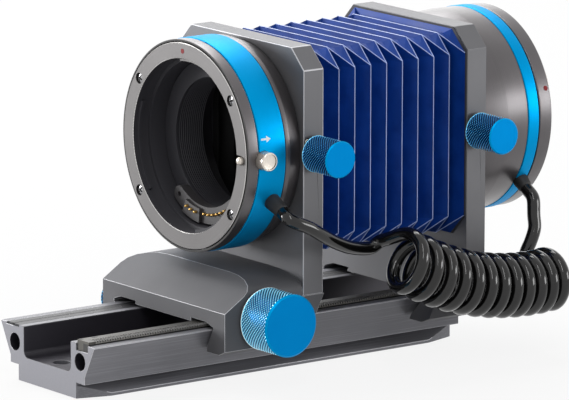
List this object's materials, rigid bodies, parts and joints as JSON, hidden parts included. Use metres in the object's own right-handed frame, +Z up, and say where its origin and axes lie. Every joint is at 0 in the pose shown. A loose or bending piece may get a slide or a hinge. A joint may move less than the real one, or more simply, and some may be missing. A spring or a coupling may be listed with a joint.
{
  "type": "macro bellows unit",
  "caption": "Macro bellows: a geared front standard with a lens mount and a sliding rear standard with a camera mount on a dovetail rail, joined by pleated blue bellows and a curly cord.",
  "frame": {"origin": "centre of the rail's flat underside, where the unit stands or is clamped", "axes": "+Y runs from the lens end to the camera end, +Z is up, +X is the side with the large drive knob"},
  "size_m": [0.1042, 0.1784, 0.1043],
  "materials": {
    "grey_anodised": "satin anodised",
    "pale_anodised": "satin anodised",
    "blue_anodised": "bright anodised",
    "black_anodised": "satin anodised",
    "matt_black": "matt",
    "dark_steel": "machined",
    "nickel": "polished",
    "brass": "turned",
    "gold": "plated",
    "pleated_fabric": "coated cloth",
    "slide_plastic": "matt",
    "cord_plastic": "gloss"
  },
  "bodies": {
    "rail": {"rail": "grey_anodised", "rack": "dark_steel", "scale_strip": "pale_anodised", "bellows": "pleated_fabric", "cord_front_lead": "cord_plastic", "coiled_cord": "cord_plastic", "cord_rear_lead": "cord_plastic"},
    "front_unit": {"front_carriage": "grey_anodised", "front_standard": "grey_anodised", "front_bellows_frame": "matt_black", "front_guide_strip": "slide_plastic", "front_gib": "brass", "front_slide_pad_right": "slide_plastic", "front_slide_pad_left": "slide_plastic", "pinion_bush": "brass"},
    "rear_unit": {"rear_carriage": "grey_anodised", "rear_standard": "grey_anodised", "rear_bellows_frame": "matt_black", "rear_guide_strip": "slide_plastic", "rear_gib": "brass", "rear_slide_pad_right": "slide_plastic", "rear_slide_pad_left": "slide_plastic"},
    "drive": {"drive_knob": "blue_anodised", "pinion_shaft": "dark_steel"},
    "front_clamp": {"front_clamp_knob": "blue_anodised", "front_clamp_screw": "dark_steel"},
    "rear_clamp": {"rear_clamp_knob": "blue_anodised", "rear_clamp_screw": "dark_steel"},
    "front_lock": {"front_lock_knob": "blue_anodised", "front_lock_screw": "dark_steel"},
    "rear_lock": {"rear_lock_knob": "blue_anodised", "rear_lock_screw": "dark_steel"},
    "lens_adapter": {"front_adapter_shell": "black_anodised", "front_band": "blue_anodised", "front_adapter_back": "black_anodised", "lens_mount_ring": "pale_anodised", "light_baffle": "matt_black", "lens_contact_block": "matt_black", "front_strain_relief": "cord_plastic", "ring_screw_1": "dark_steel", "ring_screw_2": "dark_steel", "ring_screw_3": "dark_steel", "ring_screw_4": "dark_steel"},
    "contact_pins": {"lens_contact_1": "gold", "lens_contact_2": "gold", "lens_contact_3": "gold", "lens_contact_4": "gold", "lens_contact_5": "gold", "lens_contact_6": "gold", "lens_contact_7": "gold", "lens_contact_8": "gold", "lens_contact_9": "gold"},
    "release": {"release_button": "nickel"},
    "lock_pin": {"lens_lock_pin": "nickel"},
    "camera_adapter": {"camera_adapter_barrel": "black_anodised", "rear_band": "blue_anodised", "camera_flange": "black_anodised", "camera_bayonet": "nickel", "camera_contact_block": "matt_black", "rear_strain_relief": "cord_plastic"}
  },
  "joints": [
    {"name": "front_slide", "type": "slide", "parent": "rail", "child": "front_unit", "axis": [0, 1, 0], "range_m": [-0.043, 0.024], "deforming": ["bellows", "cord_front_lead", "coiled_cord"]},
    {"name": "rear_slide", "type": "slide", "parent": "rail", "child": "rear_unit", "axis": [0, 1, 0], "range_m": [-0.0125, 0], "deforming": ["bellows", "cord_rear_lead", "coiled_cord"]},
    {"name": "drive_knob_turn", "type": "hinge", "parent": "front_unit", "child": "drive", "pos_m": [0.0402, -0.01405, 0.0206], "axis": [1, 0, 0], "range_deg": [-660, 1180]},
    {"name": "front_clamp_turn", "type": "hinge", "parent": "front_unit", "child": "front_clamp", "pos_m": [0.0399, 0.0049, 0.0706], "axis": [1, 0, 0], "range_deg": [-90, 180]},
    {"name": "rear_clamp_turn", "type": "hinge", "parent": "rear_unit", "child": "rear_clamp", "pos_m": [0.0399, 0.0695, 0.0706], "axis": [1, 0, 0], "range_deg": [-90, 180]},
    {"name": "front_lock_turn", "type": "hinge", "parent": "front_unit", "child": "front_lock", "pos_m": [-0.0397, -0.01475, 0.01385], "axis": [1, 0, 0], "range_deg": [-180, 90]},
    {"name": "rear_lock_turn", "type": "hinge", "parent": "rear_unit", "child": "rear_lock", "pos_m": [-0.0397, 0.06245, 0.01385], "axis": [1, 0, 0], "range_deg": [-180, 90]},
    {"name": "lens_adapter_turn", "type": "hinge", "parent": "front_unit", "child": "lens_adapter", "pos_m": [0, 0.0049, 0.0706], "axis": [0, 1, 0], "range_deg": [-12, 12], "deforming": ["cord_front_lead"]},
    {"name": "contact_pins_slide", "type": "slide", "parent": "lens_adapter", "child": "contact_pins", "axis": [0, 1, 0], "range_m": [0, 0.001], "stiffness_N_per_m": 400, "springref_m": -0.0004},
    {"name": "release_slide", "type": "slide", "parent": "lens_adapter", "child": "release", "axis": [-1, 0, 0], "range_m": [0, 0.0012], "stiffness_N_per_m": 400, "springref_m": -0.001},
    {"name": "lock_pin_slide", "type": "slide", "parent": "lens_adapter", "child": "lock_pin", "axis": [0, 1, 0], "range_m": [0, 0.0012]},
    {"name": "camera_adapter_turn", "type": "hinge", "parent": "rear_unit", "child": "camera_adapter", "pos_m": [0, 0.0695, 0.0706], "axis": [0, 1, 0], "range_deg": [-12, 12], "deforming": ["cord_rear_lead"]}
  ],
  "couplings": [
    {"joint": "drive_knob_turn", "follows": "front_slide", "rad_per_m": -476.19},
    {"joint": "lock_pin_slide", "follows": "release_slide", "ratio": 1}
  ]
}
